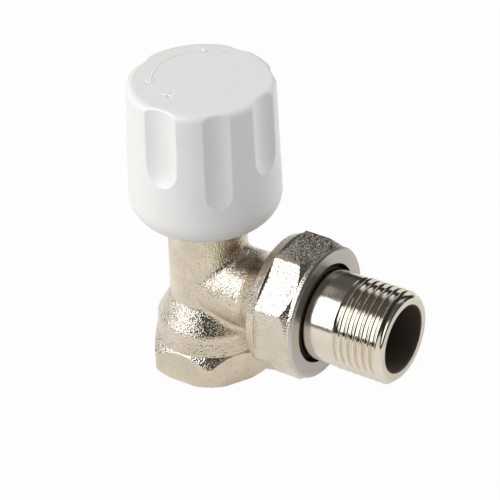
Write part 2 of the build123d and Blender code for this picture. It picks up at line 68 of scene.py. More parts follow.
def firstOf(tree, kind, inputs=None, **settings):
    return addNode(tree, kind, inputs, **settings).outputs[0]


def calc(tree, operation, *values):
    return firstOf(tree, "ShaderNodeMath", dict(enumerate(values)), operation=operation)


def spread(tree, value, low, high, fromLow=0.3, fromHigh=0.7, **settings):
    # maps a value onto a range; unless told otherwise the value is a noise
    return firstOf(tree, "ShaderNodeMapRange", {
        "Value": value, "From Min": fromLow, "From Max": fromHigh,
        "To Min": low, "To Max": high}, **settings)


def newTree(name, kind, inputs, outputs):
    # inputs and outputs are lists of (name, socket type, default)
    tree = bpy.data.node_groups.new(name, kind)
    for inOut, sockets in (("INPUT", inputs), ("OUTPUT", outputs)):
        for label, socketType, default in sockets:
            socket = tree.interface.new_socket(label, in_out=inOut, socket_type=socketType)
            if default is not None:
                socket.default_value = default
    start = tree.nodes.new("NodeGroupInput")
    end = tree.nodes.new("NodeGroupOutput")
    return tree, start.outputs, end.inputs


def endTree(tree, mesh, finish, result):
    # how every tree of shapes ends
    smooth = firstOf(tree, "GeometryNodeSetShadeSmooth", {"Geometry": mesh})
    real = firstOf(tree, "GeometryNodeRealizeInstances", {"Geometry": smooth})
    finished = firstOf(tree, "GeometryNodeSetMaterial", {"Geometry": real, "Material": finish})
    tree.links.new(finished, result[0])


# Geometry Nodes: a screw thread on a cylinder, wound round +X and then turned and placed
threadShape = {
    "rootShare": 0.1,           # share of the pitch that is flat root
    "crestShare": 0.2,          # and share of it that is flat crest
    "weld": 0.002 * mm,         # closes the seam of the wound grid
}


def threadTree():
    number = "NodeSocketFloat"
    tree, given, result = newTree("screwThread", "GeometryNodeTree", [
        ("Start", number, 0.0),
        ("End", number, 0.01),
        ("Pitch", number, 0.0018),
        ("Core Radius", number, 0.01),
        ("Depth", number, 0.001),
        ("Crest Share", number, 0.2),
        ("Start Radius", number, 0.01),
        ("Start Fall", number, 0.5),
        ("Start Rise", number, 1.0),
        ("End Radius", number, 0.01),
        ("End Fall", number, 0.5),
        ("End Rise", number, 1.0),
        ("First Angle", number, 0.0),
        ("Segments", "NodeSocketInt", 192),
        ("Steps", "NodeSocketInt", 12),
        ("Turn", "NodeSocketVector", None),
        ("Place", "NodeSocketVector", None),
        ("Finish", "NodeSocketMaterial", None),
    ], [("Mesh", "NodeSocketGeometry", None)])
    rowStep = calc(tree, "DIVIDE", given["Pitch"], given["Steps"])
    firstRow = calc(tree, "SNAP", calc(tree, "SUBTRACT", given["Start"], given["Pitch"]), rowStep)
    length = calc(tree, "SUBTRACT", given["End"], firstRow)
    turns = calc(tree, "CEIL", calc(tree, "DIVIDE", length, given["Pitch"]))
    grid = firstOf(tree, "GeometryNodeMeshGrid", {
        "Size X": 1.0,
        "Size Y": 1.0,
        "Vertices X": calc(tree, "ADD", given["Segments"], 1.0),
        "Vertices Y": calc(tree, "MULTIPLY_ADD", turns, given["Steps"], 1.0),
    })
    place = firstOf(tree, "GeometryNodeInputPosition")
    apart = addNode(tree, "ShaderNodeSeparateXYZ", {0: place}).outputs
    around = calc(tree, "ADD", apart[0], 0.5)
    # each row of the grid is one helix: it climbs by a pitch in a turn
    rowTurns = calc(tree, "MULTIPLY", calc(tree, "ADD", apart[1], 0.5), turns)
    row = calc(tree, "MULTIPLY_ADD", rowTurns, given["Pitch"], firstRow)
    climb = calc(tree, "MULTIPLY_ADD", around, given["Pitch"], row)
    along = calc(tree, "MINIMUM", calc(tree, "MAXIMUM", climb, given["Start"]), given["End"])
    # crest at phase one half, root at phase nought
    phase = calc(tree, "FRACT", calc(tree, "DIVIDE", row, given["Pitch"]))
    fromCrest = calc(tree, "ABSOLUTE", calc(tree, "MULTIPLY_ADD", phase, 2.0, -1.0))
    fromRoot = calc(tree, "SUBTRACT", 1.0, fromCrest)
    crestFrom = calc(tree, "SUBTRACT", 1.0, given["Crest Share"])
    profile = spread(tree, fromRoot, 0.0, 1.0, threadShape["rootShare"], crestFrom)
    wound = calc(tree, "MULTIPLY_ADD", profile, given["Depth"], given["Core Radius"])
    # both ends run out into what the thread joins
    fromStart = calc(tree, "SUBTRACT", along, given["Start"])
    toEnd = calc(tree, "SUBTRACT", given["End"], along)
    startFall = calc(tree, "MULTIPLY", fromStart, given["Start Fall"])
    endFall = calc(tree, "MULTIPLY", toEnd, given["End Fall"])
    low = calc(tree, "MAXIMUM",
               calc(tree, "SUBTRACT", given["Start Radius"], startFall),
               calc(tree, "SUBTRACT", given["End Radius"], endFall))
    high = calc(tree, "MINIMUM",
                calc(tree, "MULTIPLY_ADD", fromStart, given["Start Rise"], given["Start Radius"]),
                calc(tree, "MULTIPLY_ADD", toEnd, given["End Rise"], given["End Radius"]))
    radius = calc(tree, "MINIMUM", calc(tree, "MAXIMUM", wound, low), high)
    angle = calc(tree, "MULTIPLY_ADD", around, 2 * pi, given["First Angle"])
    wrapped = firstOf(tree, "ShaderNodeCombineXYZ", {
        0: along,
        1: calc(tree, "MULTIPLY", radius, calc(tree, "COSINE", angle)),
        2: calc(tree, "MULTIPLY", radius, calc(tree, "SINE", angle)),
    })
    shaped = firstOf(tree, "GeometryNodeSetPosition", {"Geometry": grid, "Position": wrapped})
    closed = firstOf(tree, "GeometryNodeMergeByDistance",
                     {"Geometry": shaped, "Distance": threadShape["weld"]})
    placed = firstOf(tree, "GeometryNodeTransform",
                     {"Geometry": closed, "Translation": given["Place"], "Rotation": given["Turn"]})
    endTree(tree, placed, given["Finish"], result)
    return tree


# Geometry Nodes: a raised line that follows the holder's curves

def raisedLineTree():
    tree, given, result = newTree("raisedLine", "GeometryNodeTree", [
        ("Curves", "NodeSocketGeometry", None),
        ("Line Radius", "NodeSocketFloat", 0.0003),
        ("Sides", "NodeSocketInt", 12),
        ("Finish", "NodeSocketMaterial", None),
    ], [("Mesh", "NodeSocketGeometry", None)])
    section = firstOf(tree, "GeometryNodeCurvePrimitiveCircle",
                      {"Resolution": given["Sides"], "Radius": given["Line Radius"]})
    swept = firstOf(tree, "GeometryNodeCurveToMesh",
                    {"Curve": given["Curves"], "Profile Curve": section, "Fill Caps": True})
    endTree(tree, swept, given["Finish"], result)
    return tree


def grow(name, data, tree, values):
    # runs a tree on a holder and returns the plain mesh, with the holder removed
    holder = bpy.data.objects.new(name, data)
    modifier = holder.modifiers.new(tree.name, "NODES")
    modifier.node_group = tree
    for item in tree.interface.items_tree:
        if item.in_out == "INPUT" and item.name in values:
            modifier[item.identifier] = values[item.name]
    bpy.context.scene.collection.objects.link(holder)
    graph = bpy.context.evaluated_depsgraph_get()
    mesh = bpy.data.meshes.new_from_object(holder.evaluated_get(graph), depsgraph=graph)
    bpy.data.objects.remove(holder)
    return mesh


threadNodes = threadTree()
lineNodes = raisedLineTree()


# sizes that the finishes and the shapes share

tailLow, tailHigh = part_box("tailpiece")
nutLow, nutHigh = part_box("union_nut")
mounts = {mount["name"]: mount for mount in frame["record"]["mounts"]}
outletRadius = mounts["outlet"]["dims"]["r_mm"] * mm
inletRadius = mounts["inlet"]["dims"]["r_mm"] * mm
outletHeight = (tailLow.z + tailHigh.z) / 2
toOutletAxis = Matrix.Translation((0, 0, outletHeight))
pipePitch = 1.814 * mm
segmentsRound = 192

tailSizes = {
    "flangeRadius": tailHigh.y,
    "faceAt": 26.8 * mm,        # the body's end face, where the flange seats
    "flangeFront": 28.4 * mm,
    "neckChamfer": 0.5 * mm,    # between the flange and the tube
    "tubeRadius": outletRadius - 0.18 * mm,
    "threadStart": 38.2 * mm,
    "threadDepth": 1.16 * mm,
    "threadInset": 0.12 * mm,   # the thread stops this far before the end face
    "endChamfer": 1.15 * mm,
    "boreRadius": 7.6275 * mm,
    "mouthChamfer": 0.3 * mm,
    "keyFlats": 13.0 * mm,      # hexagon key inside the spigot
    "spigotRadius": 9.9 * mm,
    "spigotChamfer": 0.6 * mm,
    "grooveStart": 23.3 * mm,
    "grooveEnd": 25.0 * mm,
    "grooveRadius": 8.75 * mm,
    "edge": 0.10 * mm,
}


# Materials

def colour(red, green, blue):
    return (red, green, blue, 1.0)


grainShape = {
    "coarseScale": 0.3,         # both against the grain's own scale
    "slowScale": 0.06,
    "pitFrom": 0.47,            # below this value of the grain a pit begins
    "pitFull": 0.36,
}


def castGrainGroup():
    # shot-blasted skin: sharp fine grain, with a slow unevenness under it
    tree, given, result = newTree("castGrain", "ShaderNodeTree", [
        ("Vector", "NodeSocketVector", None),
        ("Grain Size", "NodeSocketFloat", 0.0005),
        ("Unevenness", "NodeSocketFloat", 0.5),
    ], [
        ("Height", "NodeSocketFloat", None),
        ("Tone", "NodeSocketFloat", None),
        ("Pits", "NodeSocketFloat", None),
    ])
    scale = calc(tree, "DIVIDE", 1.0, given["Grain Size"])

    def noise(share, detail):
        return firstOf(tree, "ShaderNodeTexNoise", {
            "Vector": given["Vector"], "Scale": calc(tree, "MULTIPLY", scale, share), "Detail": detail})

    grain = noise(1.0, 0.0)     # one octave only, so that every grain stays a clear little facet
    coarse = calc(tree, "SUBTRACT", noise(grainShape["coarseScale"], 2.0), 0.5)
    height = calc(tree, "MULTIPLY_ADD", coarse, given["Unevenness"], grain)
    tree.links.new(height, result["Height"])
    tree.links.new(noise(grainShape["slowScale"], 3.0), result["Tone"])
    pits = spread(tree, grain, 0.0, 1.0, grainShape["pitFrom"], grainShape["pitFull"])
    tree.links.new(pits, result["Pits"])
    return tree


turningShape = {
    "driftScale": 160.0,        # how fast the rings wander, in waves a metre
    "driftAngle": 4.0,          # and how far, in radians
    "jitterScale": 0.8,         # how fast their depth changes from ring to ring
}


def turningMarksGroup():
    # fine rings left by the turning tool along one axis
    tree, given, result = newTree("turningMarks", "ShaderNodeTree", [
        ("Along", "NodeSocketFloat", 0.0),
        ("Pitch", "NodeSocketFloat", 0.0002),
        ("Vector", "NodeSocketVector", None),
    ], [("Height", "NodeSocketFloat", None)])
    drift = firstOf(tree, "ShaderNodeTexNoise", {
        "Vector": given["Vector"], "Scale": turningShape["driftScale"], "Detail": 1.0})
    turns = calc(tree, "DIVIDE", given["Along"], given["Pitch"])
    angle = calc(tree, "MULTIPLY_ADD", drift, turningShape["driftAngle"],
                 calc(tree, "MULTIPLY", turns, 2 * pi))
    jitter = firstOf(tree, "ShaderNodeTexNoise", {
        "W": turns, "Scale": turningShape["jitterScale"], "Detail": 1.0}, noise_dimensions="1D")
    tree.links.new(calc(tree, "MULTIPLY", calc(tree, "SINE", angle), jitter), result["Height"])
    return tree


castGrain = castGrainGroup()
turningMarks = turningMarksGroup()


def newMaterial(name):
    material = bpy.data.materials.new(name)
    material.use_nodes = True
    tree = material.node_tree
    shader = tree.nodes["Principled BSDF"]
    place = tree.nodes.new("ShaderNodeTexCoord").outputs["Object"]
    return material, tree, shader, place


def useGroup(tree, group, inputs):
    return addNode(tree, "ShaderNodeGroup", inputs, node_tree=group).outputs


def grainOf(tree, place, looks):
    return useGroup(tree, castGrain, {
        "Vector": place, "Grain Size": looks["grainSize"], "Unevenness": looks["unevenness"]})


def marksOf(tree, place, along, pitch):
    return useGroup(tree, turningMarks, {"Along": along, "Pitch": pitch, "Vector": place})["Height"]


def bump(tree, height, distance, strength=1.0, under=None):
    node = addNode(tree, "ShaderNodeBump", {"Height": height, "Distance": distance, "Strength": strength})
    if under is not None:
        tree.links.new(under, node.inputs["Normal"])
    return node.outputs[0]


def mixColour(tree, share, first, second):
    return addNode(tree, "ShaderNodeMix", {0: share, 6: first, 7: second}, data_type="RGBA").outputs[2]


def plateOf(tree, grain, looks):
    # the two tones of a finish, in slow patches
    return mixColour(tree, spread(tree, grain["Tone"], 0.0, 1.0), looks["plate"], looks["shade"])


blastedLooks = {
    "plate": colour(0.80, 0.72, 0.595),
    "shade": colour(0.70, 0.61, 0.48),
    "pit": colour(0.36, 0.30, 0.22),
    "pitShare": 0.12,
    "grainSize": 0.30 * mm,
    "unevenness": 0.45,
    "grainDepth": 0.145 * mm,
    "rough": (0.03, 0.12),
}


def blastedNickel():
    material, tree, shader, place = newMaterial("blastedNickel")
    looks = blastedLooks
    grain = grainOf(tree, place, looks)
    pits = calc(tree, "MULTIPLY", grain["Pits"], looks["pitShare"])
    skin = mixColour(tree, pits, plateOf(tree, grain, looks), looks["pit"])
    tree.links.new(skin, shader.inputs["Base Color"])
    tree.links.new(spread(tree, grain["Tone"], *looks["rough"]), shader.inputs["Roughness"])
    tree.links.new(bump(tree, grain["Height"], looks["grainDepth"]), shader.inputs["Normal"])
    shader.inputs["Metallic"].default_value = 1.0
    return material


nutLooks = {
    "plate": colour(0.79, 0.715, 0.61),
    "shade": colour(0.70, 0.62, 0.505),
    "pit": colour(0.27, 0.23, 0.185),
    "pitShare": 0.15,
    "ring": colour(0.62, 0.585, 0.55),
    "grainSize": 0.30 * mm,
    "unevenness": 0.6,
    "grainDepth": 0.11 * mm,
    "turnedDepth": 0.05 * mm,
    "rough": 0.12,
    "turnedRough": 0.38,
    "faceStart": 30.2 * mm,     # the turned front ring, smoother than the rest
    "marksPitch": 0.16 * mm,
    "marksDepth": 0.002 * mm,
    "marksStrength": 0.5,
    "holeRadius": 11.35 * mm,   # inside this the nut's colour is painted dark as shade, and it is unpolished
    # painted shade: near-black colour for the nut's hole and the flange behind it
    "hole": colour(0.035, 0.030, 0.026),
    "holeRougher": 0.4,         # added to the roughness there
}


def fromOutletAxis(tree, place):
    # distance along the outlet axis, and distance from it
    apart = addNode(tree, "ShaderNodeSeparateXYZ", {0: place}).outputs
    rise = calc(tree, "SUBTRACT", apart[2], outletHeight)
    square = calc(tree, "MULTIPLY_ADD", rise, rise, calc(tree, "MULTIPLY", apart[1], apart[1]))
    return apart[0], calc(tree, "SQRT", square)


def machinedNickel():
    material, tree, shader, place = newMaterial("machinedNickel")
    looks = nutLooks
    along, radial = fromOutletAxis(tree, place)
    turned = calc(tree, "GREATER_THAN", along, looks["faceStart"])
    # painted shade: inside the nut's hole, past the body's end face, the colour is painted dark
    shadedHoleMask = calc(tree, "MULTIPLY", calc(tree, "LESS_THAN", radial, looks["holeRadius"]),
                  calc(tree, "GREATER_THAN", along, tailSizes["faceAt"]))
    grain = grainOf(tree, place, looks)

    def whereTurned(plain, onRing):
        return spread(tree, turned, plain, onRing, 0.0, 1.0)

    pits = calc(tree, "MULTIPLY", grain["Pits"], whereTurned(looks["pitShare"], 0.0))
    skin = mixColour(tree, turned, plateOf(tree, grain, looks), looks["ring"])
    skin = mixColour(tree, pits, skin, looks["pit"])
    tree.links.new(mixColour(tree, shadedHoleMask, skin, looks["hole"]), shader.inputs["Base Color"])
    rough = whereTurned(looks["rough"], looks["turnedRough"])
    tree.links.new(calc(tree, "MULTIPLY_ADD", shadedHoleMask, looks["holeRougher"], rough),
                   shader.inputs["Roughness"])
    rings = bump(tree, marksOf(tree, place, radial, looks["marksPitch"]),
                 looks["marksDepth"], looks["marksStrength"])
    depth = whereTurned(looks["grainDepth"], looks["turnedDepth"])
    tree.links.new(bump(tree, grain["Height"], depth, 1.0, rings), shader.inputs["Normal"])
    shader.inputs["Metallic"].default_value = 1.0
    return material


tubeLooks = {
    "plate": colour(0.81, 0.75, 0.65),
    "shade": colour(0.75, 0.68, 0.57),
    "grainSize": 0.8 * mm,
    "unevenness": 0.5,
    "grainDepth": 0.012 * mm,
    "rough": (0.08, 0.14),
    "bandRougher": 0.07,        # added on the plain band beside the thread
    "marksPitch": 0.24 * mm,
    "marksDepth": 0.0012 * mm,
    "marksStrength": 0.6,
    "boreRadius": 7.85 * mm,    # inside this the tube's colour is painted dark as shade in the bore
    "gapStart": 28.3 * mm,      # and so it is painted dark as shade in the gap inside the nut
    "gapEnd": 30.6 * mm,
    # painted shade: near-black colour for the bore and the gap inside the nut
    "dark": colour(0.105, 0.080, 0.062),
    "darkRougher": 0.45,        # added to the roughness there
}


def polishedNickel():
    material, tree, shader, place = newMaterial("polishedNickel")
    looks = tubeLooks
    along, radial = fromOutletAxis(tree, place)
    # painted shade: dark colour inside the bore and in the gap inside the nut, where shade falls
    inGap = calc(tree, "MULTIPLY", calc(tree, "GREATER_THAN", along, looks["gapStart"]),
                 calc(tree, "LESS_THAN", along, looks["gapEnd"]))
    paintedShadeMask = calc(tree, "MAXIMUM", calc(tree, "LESS_THAN", radial, looks["boreRadius"]), inGap)
    grain = grainOf(tree, place, looks)
    skin = mixColour(tree, paintedShadeMask, plateOf(tree, grain, looks), looks["dark"])
    tree.links.new(skin, shader.inputs["Base Color"])
    tree.links.new(calc(tree, "SUBTRACT", 1.0, paintedShadeMask), shader.inputs["Metallic"])
    onBand = calc(tree, "LESS_THAN", along, tailSizes["threadStart"])
    rough = calc(tree, "MULTIPLY_ADD", onBand, looks["bandRougher"],
                 spread(tree, grain["Tone"], *looks["rough"]))
    tree.links.new(calc(tree, "MULTIPLY_ADD", paintedShadeMask, looks["darkRougher"], rough),
                   shader.inputs["Roughness"])
    rings = bump(tree, marksOf(tree, place, along, looks["marksPitch"]),
                 looks["marksDepth"], looks["marksStrength"])
    tree.links.new(bump(tree, grain["Height"], looks["grainDepth"], 1.0, rings),
                   shader.inputs["Normal"])
    return material


# the finishes of one kind of skin all over: two tones, a range of roughness and a fine relief
evenLooks = {
    "whiteMoulding": {
        "plate": colour(0.865, 0.86, 0.85),
        "shade": colour(0.845, 0.838, 0.825),
        "rough": (0.30, 0.38),
        "grainSize": 0.35 * mm,
        "unevenness": 0.3,
        "depth": 0.002 * mm,
        "constants": {"IOR": 1.5},
    },
    "bareBrass": {
        "plate": colour(0.80, 0.62, 0.32),
        "shade": colour(0.70, 0.51, 0.24),
        "rough": (0.22, 0.32),
        "grainSize": 0.6 * mm,
        "unevenness": 0.4,
        "marksPitch": 0.18 * mm,   # its relief is turning marks up the stem instead of grain
        "depth": 0.003 * mm,
        "constants": {"Metallic": 1.0},
    },
    "sealRubber": {
        "plate": colour(0.030, 0.030, 0.031),
        "shade": colour(0.05, 0.048, 0.046),
        "rough": (0.5, 0.65),
        "grainSize": 0.3 * mm,
        "unevenness": 0.5,
        "depth": 0.006 * mm,
        "constants": {},
    },
    "springSteel": {
        "plate": colour(0.50, 0.50, 0.51),
        "shade": colour(0.38, 0.37, 0.36),
        "rough": (0.28, 0.4),
        "grainSize": 0.2 * mm,
        "unevenness": 0.5,
        "depth": 0.004 * mm,
        "constants": {"Metallic": 1.0},
    },
    "slipPlastic": {
        "plate": colour(0.80, 0.79, 0.75),
        "shade": colour(0.74, 0.72, 0.67),
        "rough": (0.42, 0.52),
        "grainSize": 0.3 * mm,
        "unevenness": 0.5,
        "depth": 0.003 * mm,
        "constants": {},
    },
}


def evenFinish(name):
    material, tree, shader, place = newMaterial(name)
    looks = evenLooks[name]
    grain = grainOf(tree, place, looks)
    tree.links.new(plateOf(tree, grain, looks), shader.inputs["Base Color"])
    tree.links.new(spread(tree, grain["Tone"], *looks["rough"]), shader.inputs["Roughness"])
    relief = grain["Height"]
    if "marksPitch" in looks:
        up = addNode(tree, "ShaderNodeSeparateXYZ", {0: place}).outputs[2]
        relief = marksOf(tree, place, up, looks["marksPitch"])
    tree.links.new(bump(tree, relief, looks["depth"]), shader.inputs["Normal"])
    for socket, value in looks["constants"].items():
        shader.inputs[socket].default_value = value
    return material


# by the names of the record's material slots
finishes = {
    "blasted_nickel": blastedNickel(),
    "machined_nickel": machinedNickel(),
    "polished_nickel": polishedNickel(),
    "white_moulding": evenFinish("whiteMoulding"),
    "bare_brass": evenFinish("bareBrass"),
    "seal_rubber": evenFinish("sealRubber"),
    "spring_steel": evenFinish("springSteel"),
    "slip_plastic": evenFinish("slipPlastic"),
}
for subpart in frame["record"]["subparts"]:
    slots = nodes[subpart["node"]].data.materials
    slots.clear()
    slots.append(finishes[subpart["material_slot"]])
print("materials:", len(finishes))


# Turned pieces, wound from profiles round the outlet axis or the stem

def addObject(name, data):
    thing = bpy.data.objects.new(name, data)
    bpy.context.scene.collection.objects.link(thing)
    return thing


cornerShape = {
    "holdReach": 2.4,           # holding points, in sizes of the round
    "holdLimit": 0.45,          # and at most this share of a wall
    "roundLimit": 0.3,
    "noLength": 1e-9,
}


def softCorners(chain, size):
    # every inner corner of a profile becomes a small round between two holding points,
    # and both ends get one holding point, so that a long wall stays flat up to what it joins
    holdReach = cornerShape["holdReach"] * size

    def holdAt(end, inner):
        reach = Vector(inner) - Vector(end)
        return tuple(Vector(end) + reach * min(holdReach / reach.length, cornerShape["holdLimit"]))

    points = [chain[0], holdAt(chain[0], chain[1])]
    for before, corner, after in zip(chain, chain[1:], chain[2:]):
        ends = []
        for other in (before, after):
            reach = Vector(other) - Vector(corner)
            length = reach.length
            step = reach / length if length > cornerShape["noLength"] else reach
            ends.append((step * min(holdReach, cornerShape["holdLimit"] * length),
                         step * min(size, cornerShape["roundLimit"] * length)))
        (holdBack, back), (holdOn, on) = ends
        for shift in (holdBack, back, (back + on) / 4, on, holdOn):
            points.append(tuple(Vector(corner) + shift))
    points += [holdAt(chain[-1], chain[-2]), chain[-1]]
    return points


seamWeld = 0.004 * mm           # joins a thread to the profile beside it


def windProfile(name, profile, firstAngle, thread, finish, turn):
    # profile(angle) gives the (along, radius) chain at an angle; the thread's mesh closes its two ends
    work = bmesh.new()
    columns = []
    for step in range(segmentsRound):
        angle = firstAngle + step * 2 * pi / segmentsRound
        columns.append([work.verts.new((along, r * cos(angle), r * sin(angle)))
                        for along, r in profile(angle)])
    for here, there in zip(columns, columns[1:] + columns[:1]):
        for corners in zip(here, there, there[1:], here[1:]):
            work.faces.new(corners)
    work.transform(turn)
    work.from_mesh(thread)
    bmesh.ops.remove_doubles(work, verts=work.verts, dist=seamWeld)
    bmesh.ops.recalc_face_normals(work, faces=work.faces)
    for face in work.faces:
        face.smooth = True
        face.material_index = 0
    mesh = bpy.data.meshes.new(name)
    work.to_mesh(mesh)
    work.free()
    mesh.materials.clear()
    mesh.materials.append(finishes[finish])
    print(name, len(mesh.polygons), "faces")
    return addObject(name, mesh)


def threadMesh(finish, values):
    shared = {
        "Pitch": pipePitch,
        "Crest Share": threadShape["crestShare"],
        "Segments": segmentsRound,
        "Finish": finishes[finish],
    }
    return grow("threadHolder", bpy.data.meshes.new("threadHolder"), threadNodes, {**shared, **values})


def makeTailpiece():
    s = tailSizes
    threadEnd = tailHigh.x - s["threadInset"]
    endRadius = outletRadius - s["endChamfer"] + s["threadInset"]

    def profile(angle):
        keyRadius = s["keyFlats"] / 2 / cos((angle % (pi / 3)) - pi / 6)
        return softCorners([
            (s["threadStart"], s["tubeRadius"]),
            (s["flangeFront"] + s["neckChamfer"], s["tubeRadius"]),
            (s["flangeFront"], s["tubeRadius"] + s["neckChamfer"]),
            (s["flangeFront"], s["flangeRadius"]),
            (s["faceAt"], s["flangeRadius"]),
            (s["faceAt"], s["spigotRadius"]),
            (s["grooveEnd"], s["spigotRadius"]),
            (s["grooveEnd"], s["grooveRadius"]),
            (s["grooveStart"], s["grooveRadius"]),
            (s["grooveStart"], s["spigotRadius"]),
            (tailLow.x + s["spigotChamfer"], s["spigotRadius"]),
            (tailLow.x, s["spigotRadius"] - s["spigotChamfer"]),
            (tailLow.x, keyRadius),
            (s["flangeFront"], keyRadius),
            (s["flangeFront"], s["boreRadius"]),
            (tailHigh.x - s["mouthChamfer"], s["boreRadius"]),
            (tailHigh.x, s["boreRadius"] + s["mouthChamfer"]),
            (tailHigh.x, outletRadius - s["endChamfer"]),
            (threadEnd, endRadius),
        ], s["edge"])

    thread = threadMesh("polished_nickel", {
        "Start": s["threadStart"], "End": threadEnd,
        "Core Radius": outletRadius - s["threadDepth"], "Depth": s["threadDepth"],
        "Start Radius": s["tubeRadius"], "Start Fall": 1.2, "Start Rise": 1.0,
        "End Radius": endRadius, "End Fall": 0.0, "End Rise": 1.0,
        "Steps": 14, "Place": (0, 0, outletHeight),
    })
    piece = windProfile("tailpiece_threaded", profile, 0.0, thread, "polished_nickel", toOutletAxis)
    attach(piece, "tailpiece")
    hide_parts("tailpiece")


nutSizes = {
    "flatRadius": 14.9985 * mm,
    "cornerAngle": radians(20.5),
    "collarEnd": 21.6 * mm,
    "collarBackRadius": 14.85 * mm,
    "cornerEnd": 27.9 * mm,     # where the front turning starts to cut the corners
    "coneEnd": 29.3 * mm,
    "faceChamfer": 0.35 * mm,
    "faceStep": 0.55 * mm,
    "holeRadius": outletRadius + 0.69 * mm,
    "holeChamfer": 0.25 * mm,
    "threadRadius": 12.11 * mm,
    "threadDepth": 1.14 * mm,
    "reliefRadius": 13.32 * mm,
    "backFlare": 0.05 * mm,     # how much wider the relief is at the nut's back
    "edge": 0.12 * mm,
}


def makeUnionNut():
    s = nutSizes
    side = pi / 4
    cornerRadius = s["flatRadius"] / cos(side / 2)
    backRadius = s["reliefRadius"] + s["backFlare"]

    def profile(angle):
        octagon = s["flatRadius"] / cos(((angle - s["cornerAngle"]) % side) - side / 2)
        share = (cornerRadius - octagon) / (cornerRadius - s["flatRadius"])
        flatEnd = s["cornerEnd"] + share * (s["coneEnd"] - s["cornerEnd"])
        return softCorners([
            (tailSizes["faceAt"], s["reliefRadius"]),
            (tailSizes["flangeFront"], s["reliefRadius"]),
            (tailSizes["flangeFront"], s["holeRadius"]),
            (nutHigh.x - s["holeChamfer"], s["holeRadius"]),
            (nutHigh.x, s["holeRadius"] + s["holeChamfer"]),
            (nutHigh.x, s["flatRadius"] - s["faceStep"]),
            (nutHigh.x - s["faceChamfer"], s["flatRadius"]),
            (s["coneEnd"], s["flatRadius"]),
            (flatEnd, octagon),
            (s["collarEnd"], octagon),
            (s["collarEnd"], nutHigh.y),
            (nutLow.x, s["collarBackRadius"]),
            (nutLow.x, backRadius),
        ], s["edge"])

    thread = threadMesh("machined_nickel", {
        "Start": nutLow.x, "End": tailSizes["faceAt"],
        "Core Radius": s["threadRadius"], "Depth": s["threadDepth"],
        "Start Radius": backRadius, "Start Fall": 1.0, "Start Rise": 1.0,
        "End Radius": s["reliefRadius"], "End Fall": 1.0, "End Rise": 1.0,
        "First Angle": s["cornerAngle"], "Steps": 12, "Place": (0, 0, outletHeight),
    })
    piece = windProfile("union_nut_threaded", profile, s["cornerAngle"], thread,
                        "machined_nickel", toOutletAxis)
    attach(piece, "union_nut")
    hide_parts("union_nut")


bodyThreadSizes = {
    "start": 18.25 * mm,
    "end": 26.0 * mm,
    "coreRadius": 12.0 * mm,
    "depth": 1.18 * mm,
    "endRadius": 11.93 * mm,
    "sunk": 11.6 * mm,          # the ring is closed inside the boss
}


def makeUnionThread():
    s = bodyThreadSizes
    ring = [(s["start"], s["coreRadius"]), (s["start"], s["sunk"]),
            (s["end"], s["sunk"]), (s["end"], s["endRadius"])]
    thread = threadMesh("machined_nickel", {
        "Start": s["start"], "End": s["end"], "Core Radius": s["coreRadius"], "Depth": s["depth"],
        "Start Radius": s["coreRadius"], "Start Fall": 0.0, "Start Rise": 1.0,
        "End Radius": s["endRadius"], "End Fall": 0.0, "End Rise": 1.0,
        "Steps": 12, "Place": (0, 0, outletHeight),
    })
    piece = windProfile("body_union_thread", lambda angle: ring, 0.0, thread,
                        "machined_nickel", toOutletAxis)
    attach(piece, "body")


inletThreadSizes = {
    "start": 0.25 * mm,
    "end": 10.6 * mm,
    "play": 0.03 * mm,          # the thread's root is this far inside the bore's wall
    "depth": 1.19 * mm,
    "sunk": 0.35 * mm,          # how far the ring is closed into the wall
}


def makeInletThread():
    s = inletThreadSizes
    toStem = -pi / 2            # turns +X to +Z, round +Y
    root = inletRadius + s["play"]
    ring = [(s["start"], root), (s["start"], root + s["sunk"]),
            (s["end"], root + s["sunk"]), (s["end"], root)]
    thread = threadMesh("machined_nickel", {
        "Start": s["start"], "End": s["end"], "Core Radius": root - s["depth"], "Depth": s["depth"],
        "Start Radius": root, "Start Fall": 1.0, "Start Rise": 0.0,
        "End Radius": root, "End Fall": 1.0, "End Rise": 0.0,
        "Steps": 12, "Turn": (0.0, toStem, 0.0),
    })
    piece = windProfile("body_inlet_thread", lambda angle: ring, 0.0, thread,
                        "machined_nickel", Matrix.Rotation(toStem, 4, "Y"))
    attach(piece, "body")


makeTailpiece()
makeUnionNut()
makeUnionThread()
makeInletThread()


# Raised signs on the top of the handwheel: which way opens and which way closes
signSizes = {
    "lineRadius": 0.27 * mm,
    "lineSides": 16,
    "proud": 0.19 * mm,
    "arcCentre": Vector((0.3, 0.8)) * mm,
    "arcRadius": 11.4 * mm,
    "arcFrom": 120.1,           # degrees, as all the angles here
    "arcTo": 221.2,
    "arcSteps": 36,
    "barb": 1.6 * mm,
    "barbAngle": 38,
    "plusAt": (9.45 * mm, -104.7),
    "plusArm": 1.35 * mm,
    "plusTurn": 5,
    "minusAt": (12.2 * mm, 99.4),
    "minusArm": 1.1 * mm,
    "minusTurn": 69,
}


